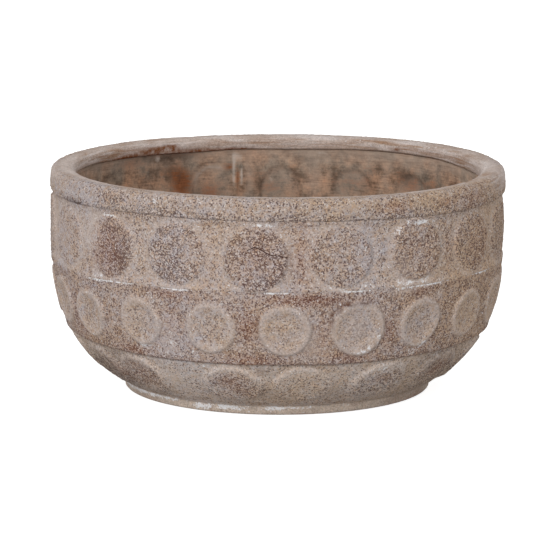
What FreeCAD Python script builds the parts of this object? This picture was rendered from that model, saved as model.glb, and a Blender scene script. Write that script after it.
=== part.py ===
import FreeCAD, Part
import Sketcher
import os

# Bowl planter of pressed clay: a foot ring, a floor slab with a drain hole, three belts of wall
# with pressed discs, and a rim coil. Each piece is luted to the next, the belts in half-lap joints.
# Millimetres and degrees, +Z up, origin in the middle of the face that the foot stands on.

# Driving dimensions. The radii follow from the rim's, so each piece keeps to the one above it.
SIZES = [
    ("rim_radius", 180.0, "outer radius of the rim coil"),
    ("rim_height", 18.0, "height of the rim coil above the upper belt"),
    ("rim_lean", 0.9, "how much the outside of the rim coil leans in"),
    ("lip_width", 20.6, "width of the lip"),
    ("lip_outer_round", 9.0, "rounding on the outside of the lip"),
    ("lip_inner_round", 5.0, "rounding on the inside of the lip"),
    ("wall", 14.0, "thickness of the wall"),
    ("tongue", 6.5, "thickness of the tongue on top of a belt"),
    ("lap", 6.0, "height of the tongue on top of a belt"),
    ("lute", 0.2, "slip between upright faces of a joint"),
    ("edge_bevel", 1.2, "worn edge along a seam"),
    ("root", 5.0, "how deep the clay of a disc reaches into the wall"),
    ("upper_height", 53.4, "height of the upper belt"),
    ("rim_step", 2.9, "how far the upper belt stands back from the rim coil"),
    ("upper_flare", 0.3, "how much the upper belt widens towards its bottom"),
    ("upper_count", 18, "coin discs on the upper belt"),
    ("upper_turn", 5.5, "angle of the first coin disc"),
    ("coin_margin", 3.3, "plain wall above and below a coin disc"),
    ("coin_gap", 14.5, "least plain wall between two coin discs"),
    ("coin_rise", 1.2, "height of the middle of a coin disc over the wall"),
    ("coin_bevel", 0.8, "worn edge of a coin disc"),
    ("press_step", 4.4, "how much smaller than its coin disc the hollow pressed behind it is"),
    ("press_depth", 0.8, "depth of the hollow pressed behind a coin disc"),
    ("middle_height", 56.2, "height of the middle belt"),
    ("middle_ledge", 1.6, "how far the middle belt stands out below the upper one"),
    ("middle_taper", 11.4, "how much the middle belt narrows towards its bottom"),
    ("middle_bulge", 1.4, "bow of the outside of the middle belt"),
    ("middle_count", 20, "dished discs on the middle belt"),
    ("middle_turn", 1.6, "angle of the first dished disc"),
    ("dish_margin", 8.17, "plain wall above and below a dished disc"),
    ("dish_gap", 13.0, "least plain wall between two dished discs"),
    ("dish_flank", 3.5, "width of the sloping flank of a dished disc"),
    ("dish_rise", 1.6, "height of the crest over the wall"),
    ("dish_depth", 1.1, "depth of the dish inside the crest"),
    ("lower_height", 43.4, "height of the lower belt"),
    ("lower_tuck", 1.2, "how far the lower belt stands back below the middle one"),
    ("lower_taper", 41.4, "how much the lower belt narrows towards its bottom"),
    ("lower_bulge", 2.2, "bow of the outside of the lower belt"),
    ("lower_hollow", 4.6, "bow of the inside of the lower belt"),
    ("lower_count", 16, "domes on the lower belt"),
    ("lower_turn", 8.0, "angle of the first dome"),
    ("dome_margin", 1.5, "plain wall above a dome"),
    ("dome_gap", 9.0, "least plain wall between two domes"),
    ("dome_rise", 2.4, "height of the middle of a dome over the wall"),
    ("dome_fall", 0.5, "how far the edge of a dome lies below the wall at its middle"),
    ("dome_shift", 4.5, "how far the domes sit above the middle of their belt"),
    ("lower_toe", 13.0, "width of the lower belt round the floor slab"),
    ("slab_thick", 14.0, "thickness of the floor slab"),
    ("drain_radius", 12.5, "radius of the drain hole"),
    ("foot_step", 3.4, "how far the foot ring stands back from the lower belt"),
    ("foot_taper", 1.0, "how much the foot ring narrows towards the ground"),
    ("foot_width", 25.6, "width of the foot ring"),
    ("foot_height", 6.0, "height of the foot ring"),
    ("upper_top", "=rim_radius - rim_step", "outer radius at the top of the upper belt"),
    ("upper_foot", "=upper_top + upper_flare", "outer radius at the bottom of the upper belt"),
    ("middle_top", "=upper_foot + middle_ledge", "outer radius at the top of the middle belt"),
    ("middle_foot", "=middle_top - middle_taper", "outer radius at the bottom of the middle belt"),
    ("lower_top", "=middle_foot - lower_tuck", "outer radius at the top of the lower belt"),
    ("lower_foot", "=lower_top - lower_taper", "outer radius at the bottom of the lower belt"),
    ("slab_radius", "=lower_foot - lower_toe", "radius of the floor slab"),
    ("foot_radius", "=lower_foot - foot_step", "outer radius of the foot ring at its top"),
    ("foot_bore", "=foot_radius - foot_width", "radius of the recess inside the foot ring"),
    ("upper_pitch", "=pi * (upper_top + upper_foot) / upper_count", "spacing of the coin discs"),
    ("middle_pitch", "=pi * (middle_top + middle_foot) / middle_count", "spacing of the dished discs"),
    ("middle_slope", "=sqrt(middle_height ^ 2 + middle_taper ^ 2)", "length of the middle belt's outside"),
    ("lower_pitch", "=pi * (lower_top + lower_foot) / lower_count", "spacing of the domes"),
    ("lower_slope", "=sqrt(lower_height ^ 2 + lower_taper ^ 2)", "length of the lower belt's outside"),
    (
        "coin_radius",
        "=min(upper_height / 2 - coin_margin; (upper_pitch - coin_gap) / 2)",
        "radius of a coin disc",
    ),
    (
        "dish_radius",
        "=min(middle_slope / 2 - dish_margin; (middle_pitch - dish_gap) / 2)",
        "outer radius of a dished disc",
    ),
    (
        "dome_radius",
        "=min(lower_slope / 2 - dome_shift - dome_margin; (lower_pitch - dome_gap) / 2)",
        "radius of a dome",
    ),
    ("press_radius", "=coin_radius - press_step", "radius of the hollow pressed behind a coin disc"),
    ("dish_crest", "=dish_radius - dish_flank", "radius of the crest of a dished disc"),
]

doc = FreeCAD.newDocument("bowl_planter")
sheet = doc.addObject("Spreadsheet::Sheet", "sizes")
for row, (alias, value, note) in enumerate(SIZES, start=1):
    sheet.set(f"A{row}", note)
    sheet.set(f"B{row}", str(value))
    sheet.setAlias(f"B{row}", alias)
doc.recompute()

CELLS = {alias: f"sizes.{alias}" for alias, _, _ in SIZES}
UPRIGHT = FreeCAD.Vector(0, 0, 1)
HORIZONTAL_AXIS, VERTICAL_AXIS = -1, -2


def size(text):
    # A name in braces stands for its cell in the sheet.
    return "(" + text.format(**CELLS) + ")"


def measure(expression):
    return float(sheet.evalExpression(expression))


# Levels of the seams, from the ground up
ground = "0"
foot_seam = size("{foot_height}")
floor_level = size("{foot_height} + {slab_thick}")
lower_seam = size("{foot_height} + {lower_height}")
middle_seam = size("{foot_height} + {lower_height} + {middle_height}")
upper_seam = size("{foot_height} + {lower_height} + {middle_height} + {upper_height}")
rim_level = size("{foot_height} + {lower_height} + {middle_height} + {upper_height} + {rim_height}")

# Radius of the inside of the wall at each lap
lower_lap = size("{middle_foot} - {wall}")
middle_lap = size("{upper_foot} - {wall}")
upper_lap = size("{upper_top} - {wall}")

# Bow of a quarter round, as a share of its radius
QUARTER_BOW = "(1 - sqrt(0.5))"


def new_body(label, turn="0"):
    body = doc.addObject("PartDesign::Body", label)
    body.Label = label
    body.Placement = FreeCAD.Placement(FreeCAD.Vector(), FreeCAD.Rotation(UPRIGHT, measure(turn)))
    if turn != "0":
        body.setExpression("Placement.Rotation.Angle", turn)
    return body


def origin_feature(body, role):
    return next(feature for feature in body.Origin.OriginFeatures if feature.Role == role)


def new_sketch(body, name, plane="XZ_Plane"):
    sketch = body.newObject("Sketcher::SketchObject", name)
    sketch.AttachmentSupport = [(origin_feature(body, plane), "")]
    sketch.MapMode = "FlatFace"
    return sketch


def hold(sketch, constraint, expression):
    index = sketch.addConstraint(constraint)
    sketch.setExpression(f"Constraints[{index}]", expression)


def hold_corner(sketch, edge, end, across, along):
    # A corner on an axis is held to that axis, any other corner by its distance from it.
    for kind, axis, expression in (
        ("DistanceX", VERTICAL_AXIS, across),
        ("DistanceY", HORIZONTAL_AXIS, along),
    ):
        if expression == "0":
            sketch.addConstraint(Sketcher.Constraint("PointOnObject", edge, end, axis))
        else:
            hold(sketch, Sketcher.Constraint(kind, edge, end, measure(expression)), expression)


def draw_outline(sketch, corners):
    # A corner is (across, along, bow), and bow is how far the edge after it bows to its right.
    places = [FreeCAD.Vector(measure(across), measure(along), 0) for across, along, _ in corners]
    joined = []
    for index, (across, along, bow) in enumerate(corners):
        after = (index + 1) % len(corners)
        start, end = places[index], places[after]
        if bow:
            chord = end - start
            to_right = FreeCAD.Vector(chord.y, -chord.x, 0).normalize()
            middle = (start + end) * 0.5 + to_right * measure(bow)
            edge = sketch.addGeometry(Part.Arc(start, middle, end))
            next_across, next_along, _ = corners[after]
            square = f"(({next_across} - {across})^2 + ({next_along} - {along})^2)"
            radius = f"{square} / (8 * abs({bow})) + abs({bow}) / 2"
            hold(sketch, Sketcher.Constraint("Radius", edge, measure(radius)), radius)
        else:
            edge = sketch.addGeometry(Part.LineSegment(start, end))
        # An arc runs anticlockwise in a sketch, so its first end may be at the later corner.
        to_first = sketch.getPoint(edge, 1).distanceToPoint(start)
        to_second = sketch.getPoint(edge, 2).distanceToPoint(start)
        joined.append((edge, 1, 2) if to_first < to_second else (edge, 2, 1))
    for index, (edge, first, last) in enumerate(joined):
        next_edge, next_first, _ = joined[(index + 1) % len(joined)]
        sketch.addConstraint(Sketcher.Constraint("Coincident", edge, last, next_edge, next_first))
        across, along, _ = corners[index]
        hold_corner(sketch, edge, first, across, along)


def revolve(body, name, sketch, axis, kind="Revolution"):
    turned = body.newObject(f"PartDesign::{kind}", name)
    turned.Profile = sketch
    turned.ReferenceAxis = (sketch, [axis])
    turned.Angle = 360
    sketch.Visibility = False
    return turned


def ring_body(label, corners, turn="0"):
    body = new_body(label, turn)
    sketch = new_sketch(body, f"{label}_section")
    draw_outline(sketch, corners)
    revolve(body, f"{label}_ring", sketch, "V_Axis")
    return body


def disc_row(body, name, corners, count, middle, tilt, kind="Revolution"):
    # One disc is turned about its own axis, which points out of the wall, and then repeated round
    # the belt. Its outline is drawn from the point (across, up) that middle gives on that axis.
    across, up = middle
    sketch = new_sketch(body, f"{name}_section")
    corner = FreeCAD.Vector(measure(across), measure(up), 0)
    sketch.AttachmentOffset = FreeCAD.Placement(corner, FreeCAD.Rotation(UPRIGHT, -measure(tilt)))
    sketch.setExpression("AttachmentOffset.Base.x", across)
    sketch.setExpression("AttachmentOffset.Base.y", up)
    sketch.setExpression("AttachmentOffset.Rotation.Angle", f"-{tilt}")
    draw_outline(sketch, corners)
    disc = revolve(body, name, sketch, "H_Axis", kind)
    row = body.newObject("PartDesign::PolarPattern", f"{name}_row")
    row.Originals = [disc]
    row.Axis = (origin_feature(body, "Z_Axis"), [""])
    row.Angle = 360
    row.Occurrences = int(measure(count))
    row.setExpression("Occurrences", count)
    body.Tip = row


def disc_place(base, top, foot_radius, top_radius, bulge=None, shift="0"):
    # Where the root of a disc lies on a belt, and how far the belt leans out there
    tilt = f"atan(({top_radius} - {foot_radius}) / ({top} - {base}))"
    depth = f"({bulge or 0} - {size('{root}')})"
    across = f"({foot_radius} + {top_radius}) / 2 + {depth} * cos({tilt}) + {shift} * sin({tilt})"
    up = f"({base} + {top}) / 2 - {depth} * sin({tilt}) + {shift} * cos({tilt})"
    return (across, up), tilt


def outer_face(base, top, foot_radius, top_radius, bulge=None):
    # Outside of a belt from its lower seam to its upper one, with worn edges
    bevel = size("{edge_bevel}")
    return [
        (f"({foot_radius} - {bevel})", base, None),
        (foot_radius, f"({base} + {bevel})", bulge),
        (top_radius, f"({top} - {bevel})", None),
        (f"({top_radius} - {bevel})", top, None),
    ]


def tongue(seam, inside, bow=None):
    # Tongue on top of a belt, along the inside of the wall
    outside = f"({inside} + {size('{tongue}')})"
    tip = f"({seam} + {size('{lap}')})"
    return [(outside, seam, None), (outside, tip, None), (inside, tip, bow)]


def rebate(seam, inside):
    # Rebate under a piece, which takes the tongue of the belt below
    outside = f"({inside} + {size('{tongue} + {lute}')})"
    tip = f"({seam} + {size('{lap}')})"
    return [(inside, tip, None), (outside, tip, None), (outside, seam, None)]


def foot_ring():
    return ring_body("foot_ring", [
        (size("{foot_bore}"), ground, None),
        (size("{foot_radius} - {foot_taper}"), ground, None),
        (size("{foot_radius}"), foot_seam, None),
        (size("{foot_bore}"), foot_seam, None),
    ])


def floor_slab():
    body = new_body("floor_slab")
    sketch = new_sketch(body, "slab_outline", "XY_Plane")
    sketch.AttachmentOffset = FreeCAD.Placement(UPRIGHT * measure(foot_seam), FreeCAD.Rotation())
    sketch.setExpression("AttachmentOffset.Base.z", foot_seam)
    for expression in (size("{slab_radius}"), size("{drain_radius}")):
        circle = sketch.addGeometry(Part.Circle(FreeCAD.Vector(), UPRIGHT, measure(expression)))
        sketch.addConstraint(Sketcher.Constraint("Coincident", circle, 3, HORIZONTAL_AXIS, 1))
        hold(sketch, Sketcher.Constraint("Radius", circle, measure(expression)), expression)
    slab = body.newObject("PartDesign::Pad", "slab")
    slab.Profile = sketch
    slab.setExpression("Length", size("{slab_thick}"))
    sketch.Visibility = False
    return body


def lower_belt():
    shape = (foot_seam, lower_seam, size("{lower_foot}"), size("{lower_top}"), size("{lower_bulge}"))
    toe = size("{slab_radius} + {lute}")
    body = ring_body("lower_belt", [
        (toe, foot_seam, None),
        (size("{lower_foot}"), foot_seam, size("{lower_bulge}")),
        *outer_face(*shape)[2:],
        *tongue(lower_seam, lower_lap, size("-{lower_hollow}")),
        (toe, floor_level, None),
    ], size("{lower_turn}"))
    disc_row(body, "dome", [
        ("0", "0", None),
        (size("{root} + {dome_rise}"), "0", size("({dome_rise} + {dome_fall}) / 4")),
        (size("{root} - {dome_fall}"), size("{dome_radius}"), None),
        ("0", size("{dome_radius}"), None),
    ], size("{lower_count}"), *disc_place(*shape, size("{dome_shift}")))
    return body


def middle_belt():
    shape = (lower_seam, middle_seam, size("{middle_foot}"), size("{middle_top}"), size("{middle_bulge}"))
    body = ring_body("middle_belt", [
        *rebate(lower_seam, lower_lap),
        *outer_face(*shape),
        *tongue(middle_seam, middle_lap),
    ], size("{middle_turn}"))
    disc_row(body, "dished_disc", [
        ("0", "0", None),
        (size("{root} + {dish_rise} - {dish_depth}"), "0", size("-{dish_depth} / 4")),
        (size("{root} + {dish_rise}"), size("{dish_crest}"), None),
        (size("{root}"), size("{dish_radius}"), None),
        ("0", size("{dish_radius}"), None),
    ], size("{middle_count}"), *disc_place(*shape))
    return body


def upper_belt():
    shape = (middle_seam, upper_seam, size("{upper_foot}"), size("{upper_top}"))
    body = ring_body("upper_belt", [
        *rebate(middle_seam, middle_lap),
        *outer_face(*shape),
        *tongue(upper_seam, upper_lap),
    ], size("{upper_turn}"))
    disc_row(body, "coin_disc", [
        ("0", "0", None),
        (size("{root} + {coin_rise}"), "0", None),
        (size("{root} + {coin_rise}"), size("{coin_radius} - {coin_bevel}"), None),
        (size("{root} + {coin_rise} - {coin_bevel}"), size("{coin_radius}"), None),
        ("0", size("{coin_radius}"), None),
    ], size("{upper_count}"), *disc_place(*shape))
    disc_row(body, "pressed_hollow", [
        ("0", "0", None),
        (size("{root} + {press_depth}"), "0", None),
        (size("{root} + {press_depth}"), size("{press_radius}"), None),
        ("0", size("{press_radius}"), None),
    ], size("{upper_count}"), *disc_place(middle_seam, upper_seam, middle_lap, upper_lap), "Groove")
    return body


def rim_coil():
    bevel = size("{edge_bevel}")
    outside = size("{rim_radius} - {rim_lean}")
    inside = size("{rim_radius} - {lip_width}")
    outer_round = size("{lip_outer_round}")
    inner_round = size("{lip_inner_round}")
    seat = rebate(upper_seam, upper_lap)
    return ring_body("rim_coil", [
        *seat[1:],
        (f"({size('{rim_radius}')} - {bevel})", upper_seam, None),
        (size("{rim_radius}"), f"({upper_seam} + {bevel})", None),
        (outside, f"({rim_level} - {outer_round})", f"{outer_round} * {QUARTER_BOW}"),
        (f"({outside} - {outer_round})", rim_level, None),
        (f"({inside} + {inner_round})", rim_level, f"{inner_round} * {QUARTER_BOW}"),
        (inside, f"({rim_level} - {inner_round})", None),
        (inside, f"({upper_seam} + {size('{lap}')})", None),
    ])


pieces = [foot_ring(), floor_slab(), lower_belt(), middle_belt(), upper_belt(), rim_coil()]
doc.recompute()

for item in doc.Objects:
    if "Invalid" in item.State or "Error" in item.State:
        raise RuntimeError(f"{item.Label} did not build: {item.State}")
for piece in pieces:
    if piece.Shape.isNull() or not piece.Shape.isValid() or len(piece.Shape.Solids) != 1:
        raise RuntimeError(f"{piece.Label} is not one sound solid")

os.makedirs("parts", exist_ok=True)
for piece in pieces:
    piece.Shape.exportStep(f"parts/{piece.Label}.step")
    print(f"{piece.Label}: {piece.Shape.Volume / 1000:.1f} cm3, top at {piece.Shape.BoundBox.ZMax:.1f} mm")
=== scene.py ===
import math

import bpy
import numpy as np
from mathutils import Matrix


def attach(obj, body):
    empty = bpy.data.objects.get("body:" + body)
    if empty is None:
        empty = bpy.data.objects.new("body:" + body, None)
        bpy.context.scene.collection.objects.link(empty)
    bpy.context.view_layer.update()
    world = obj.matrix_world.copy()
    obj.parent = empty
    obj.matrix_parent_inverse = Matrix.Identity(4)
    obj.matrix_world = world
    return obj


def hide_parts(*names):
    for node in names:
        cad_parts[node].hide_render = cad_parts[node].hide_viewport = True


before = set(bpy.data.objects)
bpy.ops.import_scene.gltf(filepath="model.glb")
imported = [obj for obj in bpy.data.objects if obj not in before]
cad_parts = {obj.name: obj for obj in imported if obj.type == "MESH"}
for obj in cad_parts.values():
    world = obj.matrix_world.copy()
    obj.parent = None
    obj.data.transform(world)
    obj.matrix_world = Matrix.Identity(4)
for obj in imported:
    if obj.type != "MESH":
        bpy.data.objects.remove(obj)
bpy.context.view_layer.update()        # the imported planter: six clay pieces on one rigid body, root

mm = 0.001                    # sizes below are in millimetres, the scene is in metres
scene = bpy.context.scene
scene.view_settings.view_transform = "Standard"
print("frame loaded:", len(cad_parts), "nodes")

weld = 1e-5                   # points nearer than this, in metres, become one
far = 1000.0                  # further off than anything on the pot, in millimetres

# levels of the ground, the seams, the floor and the lip, with the seams where the solids have them
pot = {
    "ground": 0.0,
    "footSeam": 6.0,
    "floorTop": 20.0,
    "lowerSeam": 49.4,
    "middleSeam": 105.6,
    "upperSeam": 159.0,
    "lip": 176.0,
    "lap": 6.0,                # how far a piece's tongue reaches past a seam into the next piece
    "jointUp": 2.5,            # inside, the joint under the lip runs this much higher at the back right
    "jointDown": 1.4,          # and this much lower at the back left
}

# what the clay's materials read: sand, lime, wear with some painted light, soot with painted shade, rust,
# the wash's warmth and cracks
paintLayers = ("grit", "bloom", "worn", "soot", "rust", "warm", "crack", "split")

# where the wash has weathered warmer or cooler; as for all marks below, a mark is its turn in degrees from
# the front, its height, half width, half height and strength
weather = {
    "warmMarks": [(66, 115, 75, 90, 0.50), (6, 72, 55, 32, 0.14), (34, 171, 34, 5, 0.45),
                  (-25, 100, 22, 55, -0.22), (-60, 168, 34, 14, -0.30), (-64, 28, 44, 30, 0.50),
                  (21, 76, 18, 20, -0.35), (24, 138, 18, 20, -0.40), (-33, 55, 22, 18, -0.25),
                  (-70, 125, 26, 24, -0.25), (0, 20, 40, 26, 0.20), (56, 30, 50, 30, 0.30),
                  (-85, 174, 40, 7, -0.25), (84, 173, 44, 8, -0.50), (142, 173, 40, 5, 0.25),
                  (-176, 175.6, 70, 2.6, -0.12), (-172, 170.4, 60, 2.0, 0.10), (-120, 170, 50, 4.0, 0.40),
                  (112, 169, 30, 4, 0.2), (-50, 150, 14, 22, -0.15)],
}


def smooth(low, high, value):
    share = np.clip((value - low) / (high - low), 0.0, 1.0)
    return share * share * (3.0 - 2.0 * share)


def outlineOf(corners):
    # a corner: radius, height, rounding, then the point spacing and the bow of the edge after it
    spots = [np.array(corner[:2], float) for corner in corners]
    points = []
    for index, (_, _, soft, gap, bow) in enumerate(corners):
        after = (index + 1) % len(corners)
        here = spots[index]
        wayIn = (here - spots[index - 1]) / np.hypot(*(here - spots[index - 1]))
        wayOut = (spots[after] - here) / np.hypot(*(spots[after] - here))
        leave = here + wayOut * soft
        bends = max(3, round(1.5 * soft)) if soft else 0
        for bend in range(bends + 1):
            share = bend / bends if bends else 1.0
            points.append((1 - share) ** 2 * (here - wayIn * soft) + 2 * share * (1 - share) * here
                          + share ** 2 * leave)
        run = spots[after] - wayOut * corners[after][2] - leave
        parts = max(1, round(np.hypot(*run) / gap))
        for part in range(1, parts):
            share = part / parts
            aside = np.array((wayOut[1], -wayOut[0])) * 4 * bow * share * (1 - share)
            points.append(leave + run * share + aside)
    return points


def throwPiece(name, sizes):
    # a closed outline beside the axis, turned once round it as on a wheel
    outline = outlineOf(sizes["outline"])
    bpy.ops.object.select_all(action="DESELECT")
    bpy.ops.mesh.primitive_circle_add(vertices=len(outline), radius=0.1, fill_type="NOTHING")
    piece = bpy.context.object
    piece.name = piece.data.name = name
    for vertex, (radius, height) in zip(piece.data.vertices, outline):
        vertex.co = (radius * mm, 0.0, height * mm)
    wheel = piece.modifiers.new("wheel", "SCREW")
    wheel.angle = 2 * math.pi
    wheel.steps = wheel.render_steps = sizes["steps"]
    wheel.use_merge_vertices = True
    wheel.merge_threshold = weld
    bpy.ops.object.modifier_apply(modifier="wheel")
    bpy.ops.object.mode_set(mode="EDIT")
    bpy.ops.mesh.select_all(action="SELECT")
    bpy.ops.mesh.remove_doubles(threshold=weld)
    bpy.ops.mesh.normals_make_consistent(inside=False)
    bpy.ops.object.mode_set(mode="OBJECT")
    bpy.ops.object.shade_smooth()
    print(name, "turned:", len(piece.data.polygons), "faces")
    return piece


def spotsOf(piece):
    # x, y and z of every vertex in metres, in one row
    spots = np.empty(len(piece.data.vertices) * 3)
    piece.data.vertices.foreach_get("co", spots)
    return spots


def gaugeOf(piece):
    # radius, turn from the front towards the right in radians, and height of every vertex
    across, along, height = spotsOf(piece).reshape(-1, 3).T / mm
    return np.hypot(across, along), np.arctan2(across, -along), height


def press(piece, weight, lift, grain=None, contrast=1.0):
    # a weight-painted displacement along the normals: plain, or by clouds of a grain in millimetres
    paint = piece.vertex_groups.new(name="paint")
    for index in np.flatnonzero(weight > 1e-3):
        paint.add([int(index)], float(weight[index]), "REPLACE")
    push = piece.modifiers.new("push", "DISPLACE")
    push.vertex_group = paint.name
    push.strength = lift * mm
    push.mid_level = 0.0
    if grain:
        clouds = bpy.data.textures.new("clouds", "CLOUDS")
        clouds.noise_scale = grain * mm
        clouds.contrast = contrast
        push.texture = clouds
        push.texture_coords = "LOCAL"
        push.mid_level = 0.5
    bpy.context.view_layer.objects.active = piece
    bpy.ops.object.modifier_apply(modifier=push.name)
    piece.vertex_groups.clear()


def humpOf(hump, turn):
    # a rise at one place round the pot: its turn and half width in radians, and its height
    place, width, rise = hump
    return rise * np.exp(-((turn - place) / width) ** 2)


def seamWave(seam, turn):
    # seams laid by hand rise and fall a little round the pot, and so does the lip
    if seam == "lip":
        sway = -0.14 * np.cos(2 * turn) - 0.45 * np.sin(2 * turn) + 0.28 * np.cos(3 * turn)
        return -1.15 - 0.75 * np.cos(turn) + sway
    if seam == "upperSeam":
        return -0.5 - 1.9 * np.sin(turn) + 0.3 * np.sin(5 * turn + 0.6) - humpOf((-1.2, 0.4, 3.2), turn)
    if seam == "middleSeam":
        return 0.25 + 0.2 * np.sin(turn) + 0.25 * np.sin(7 * turn + 1.0) - humpOf((-0.95, 0.19, 2.0), turn)
    if seam == "lowerSeam":
        return -0.6 - 1.0 * np.cos(2 * turn) + 0.1 * np.sin(turn) + 0.25 * np.sin(6 * turn + 2.0)
    if seam == "footSeam":
        return 0.3 + 1.1 * np.cos(turn) + 0.2 * np.sin(4 * turn)
    return 0.0 * turn


def shiftUp(piece, rise):
    # every vertex moves up by its own number of millimetres
    spots = spotsOf(piece)
    spots[2::3] += rise * mm
    piece.data.vertices.foreach_set("co", spots)
    piece.data.update()


def liftJoint(piece, gauge):
    # inside, the lip is thinner at the back right and thicker at the back left, and the joint below
    # it runs higher or lower
    radius, turn, height = gauge
    thinner = smooth(1.85, 2.25, turn) * (1 - smooth(2.5, 3.1, turn))
    thicker = smooth(-2.95, -2.65, turn) * (1 - smooth(-2.2, -1.9, turn))
    near = smooth(160.0, 164.5, height) * (1 - smooth(165.5, 176.0, height))
    near *= 1 - smooth(170.5, 172.0, radius)
    shiftUp(piece, (pot["jointUp"] * thinner - pot["jointDown"] * thicker) * near)


def settle(piece, below, above):
    # the piece follows the waves of the seams below and above it
    _, turn, height = gaugeOf(piece)
    share = np.clip((height - pot[below]) / (pot[above] - pot[below]), 0.0, 1.0)
    shiftUp(piece, seamWave(below, turn) * (1 - share) + seamWave(above, turn) * share)


def turnFrom(place, turn):
    # the short way round from a place, in radians
    return (turn - place + math.pi) % (2 * math.pi) - math.pi


def discsOf(row):
    # turn, rise or fall, size and lean of each disc of a row: even spacing, with a hand's unevenness
    dice = np.random.default_rng(row["dice"])
    discs = []
    for index in range(row["count"]):
        chance = (dice.uniform(-0.7, 0.7), dice.uniform(-0.6, 0.6), 1.0)
        nudge, shift, scale = row["hand"].get(index, chance)
        turn = row["first"] + 360.0 / row["count"] * index + nudge
        discs.append((math.radians(turn), shift, scale, dice.uniform(0, 6.3)))
    return discs


def nearestDisc(discs, turn, along, radius):
    # sideways and upward distance from the nearest disc's middle, and the whole distance with the
    # disc's own scale and wobble taken out
    side = np.full(len(turn), far)
    up = np.full(len(turn), far)
    size = np.ones(len(turn))
    for place, shift, scale, lean in discs:
        away = turnFrom(place, turn)
        near = np.abs(away) * radius < np.abs(side)
        side[near] = (away * radius)[near]
        up[near] = along[near] - shift
        angle = np.arctan2(up[near], side[near])
        size[near] = scale * (1 + 0.018 * np.sin(2 * angle + lean) + 0.014 * np.sin(3 * angle + 2 * lean))
    return side, up, np.hypot(side, up) / size


def marksOf(marks, gauge):
    # soft marks as listed, added up
    radius, turn, height = gauge
    tone = np.zeros(len(turn))
    for place, level, wide, high, strength in marks:
        away = turnFrom(math.radians(place), turn)
        tone += strength * np.exp(-((away * radius / wide) ** 2 + ((height - level) / high) ** 2))
    return tone


def crackOf(path, gauge):
    # a fine crack from point to point (turn in degrees, height): 0.5 on it and 0.25 more or less each
    # millimetre aside, so that it can be drawn finer than the mesh; then 1 along it and 0 past its ends
    radius, turn, height = gauge
    near = np.full(len(turn), far)
    aside = np.zeros(len(turn))
    within = np.zeros(len(turn))
    for index, ((turnA, heightA), (turnB, heightB)) in enumerate(zip(path, path[1:])):
        across = (turn - math.radians(turnA)) * radius
        over = height - heightA
        run = math.radians(turnB - turnA) * radius
        climb = heightB - heightA
        share = np.clip((across * run + over * climb) / (run ** 2 + climb ** 2), 0.0, 1.0)
        gap = np.hypot(across - share * run, over - share * climb)
        nearer = gap < near
        near[nearer] = gap[nearer]
        aside[nearer] = np.sign(over * run - across * climb)[nearer]
        past = (index == 0) * (share == 0) + (index == len(path) - 2) * (share == 1)
        within[nearer] = ((past == 0) & (gap < 3.0))[nearer]
    return 0.5 + 0.25 * near * aside, within


def slopeOf(belt, radius, height):
    # on a sloping belt: how far a vertex stands out from the face, and its way up the face from the middle
    lean = math.atan2(belt["top"][0] - belt["foot"][0], belt["top"][1] - belt["foot"][1])
    offMiddle = radius - (belt["top"][0] + belt["foot"][0]) / 2
    overMiddle = height - (belt["top"][1] + belt["foot"][1]) / 2
    proud = offMiddle * math.cos(lean) - overMiddle * math.sin(lean)
    return proud, offMiddle * math.sin(lean) + overMiddle * math.cos(lean)


def warmthOf(gauge):
    # the wash leans to grey or to beige over wide patches that cross the seams
    return 0.5 + marksOf(weather["warmMarks"], gauge)


def keepPaint(piece, **paints):
    # the layers as attributes of the vertices, from 0 to 1
    for name in paintLayers:
        layer = piece.data.attributes.new(name, "FLOAT", "POINT")
        most = 1.25 if name == "bloom" else 1.0     # lime may lie thick
        tone = np.clip(paints.get(name, 0.0) * np.ones(len(piece.data.vertices)), 0.0, most)
        layer.data.foreach_set("value", tone.astype(np.float32))


def finishPiece(piece, node, outside, inside=None, isInside=None):
    # materials by face, then the piece takes its CAD node's place
    piece.data.materials.append(outside)
    if inside:
        piece.data.materials.append(inside)
        corners = np.empty(len(piece.data.loops), int)
        piece.data.loops.foreach_get("vertex_index", corners)
        starts = np.empty(len(piece.data.polygons), int)
        piece.data.polygons.foreach_get("loop_start", starts)
        within = np.add.reduceat(isInside[corners].astype(float), starts) > 2.5     # three corners or more
        piece.data.polygons.foreach_set("material_index", within.astype(int))
    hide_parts(node)
    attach(piece, "root")


def linear(code):
    # an sRGB hex colour as Blender's linear RGBA
    parts = [int(code[at:at + 2], 16) / 255 for at in (1, 3, 5)]
    return [part / 12.92 if part <= 0.04045 else ((part + 0.055) / 1.055) ** 2.4 for part in parts] + [1.0]


def addNode(tree, kind, inputs=None, **settings):
    # one node, its settings, and its sockets set, or linked to a socket or to a node's main output
    node = tree.nodes.new("ShaderNode" + kind)
    if kind == "Mix":
        node.data_type = "RGBA"     # all mixes here are of colours
    for name, value in settings.items():
        setattr(node, name, value)
    for socket, value in (inputs or {}).items():
        if isinstance(value, bpy.types.Node):
            value = next(output for output in value.outputs if output.enabled)
        if isinstance(value, bpy.types.NodeSocket):
            tree.links.new(value, node.inputs[socket])
        else:
            node.inputs[socket].default_value = value
    return node


def blankClay(name, roughness):
    # fired clay: rough and dull, with hardly any gloss
    clay = bpy.data.materials.new(name)
    clay.use_nodes = True
    tree = clay.node_tree
    shader = tree.nodes["Principled BSDF"]
    shader.inputs["Roughness"].default_value = roughness
    shader.inputs["IOR"].default_value = 1.45
    shader.inputs["Specular IOR Level"].default_value = 0.25
    return clay, tree, shader


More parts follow.
